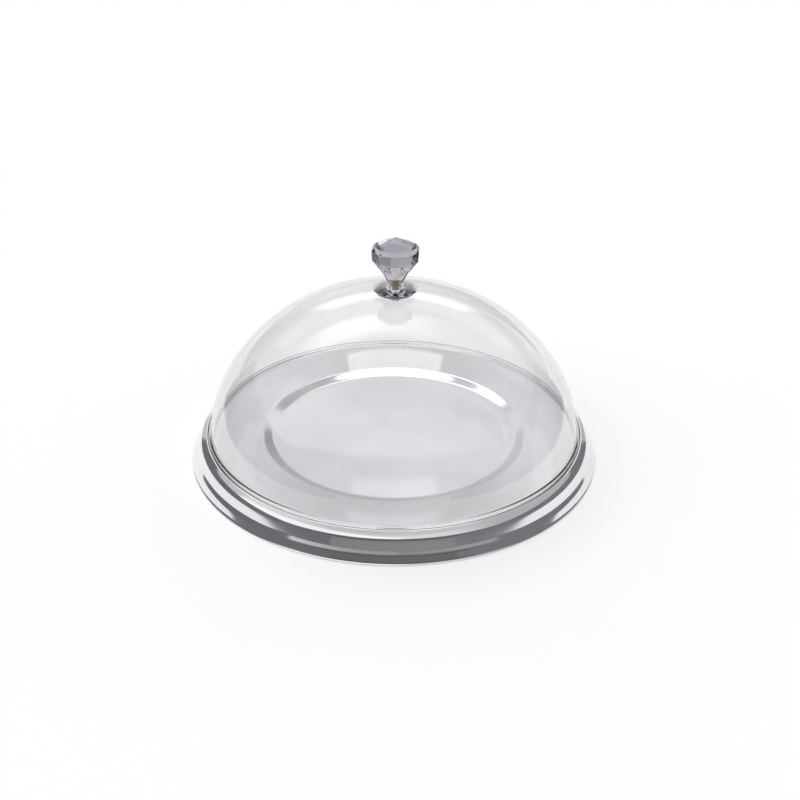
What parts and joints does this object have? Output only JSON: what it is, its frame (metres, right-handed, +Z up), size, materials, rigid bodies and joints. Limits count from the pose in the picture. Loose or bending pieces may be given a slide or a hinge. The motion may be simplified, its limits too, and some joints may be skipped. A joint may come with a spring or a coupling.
{
  "type": "cheese dome",
  "caption": "Clear domed cover with a faceted clear knob, standing on a round polished steel serving tray with a sunken well and a turned-down rim.",
  "frame": {"origin": "centre of the flat ring that the tray stands on, in the table's plane", "axes": "+Z up along the common axis of tray, dome and knob; -Y towards the front, +X to the right"},
  "size_m": [0.3, 0.3, 0.1624],
  "materials": {
    "polished_steel": "bright polished stainless steel with faint spinning marks",
    "clear_shell": "clear glossy acrylic",
    "crystal_knob": "clear cut acrylic with flat polished facets",
    "brass": "turned and knurled brass",
    "clear_silicone": "soft translucent silicone",
    "fastener_steel": "zinc-plated steel"
  },
  "bodies": {
    "tray": {"tray": "polished_steel"},
    "cover": {"dome": "clear_shell", "knob": "crystal_knob", "knob_insert": "brass", "knob_gasket": "clear_silicone", "inner_gasket": "clear_silicone", "screw_washer": "fastener_steel", "knob_screw": "fastener_steel"}
  },
  "joints": [
    {"name": "dome_lift", "type": "slide", "parent": "tray", "child": "cover", "axis": [0, 0, 1], "range_m": [0, 0.2]}
  ]
}
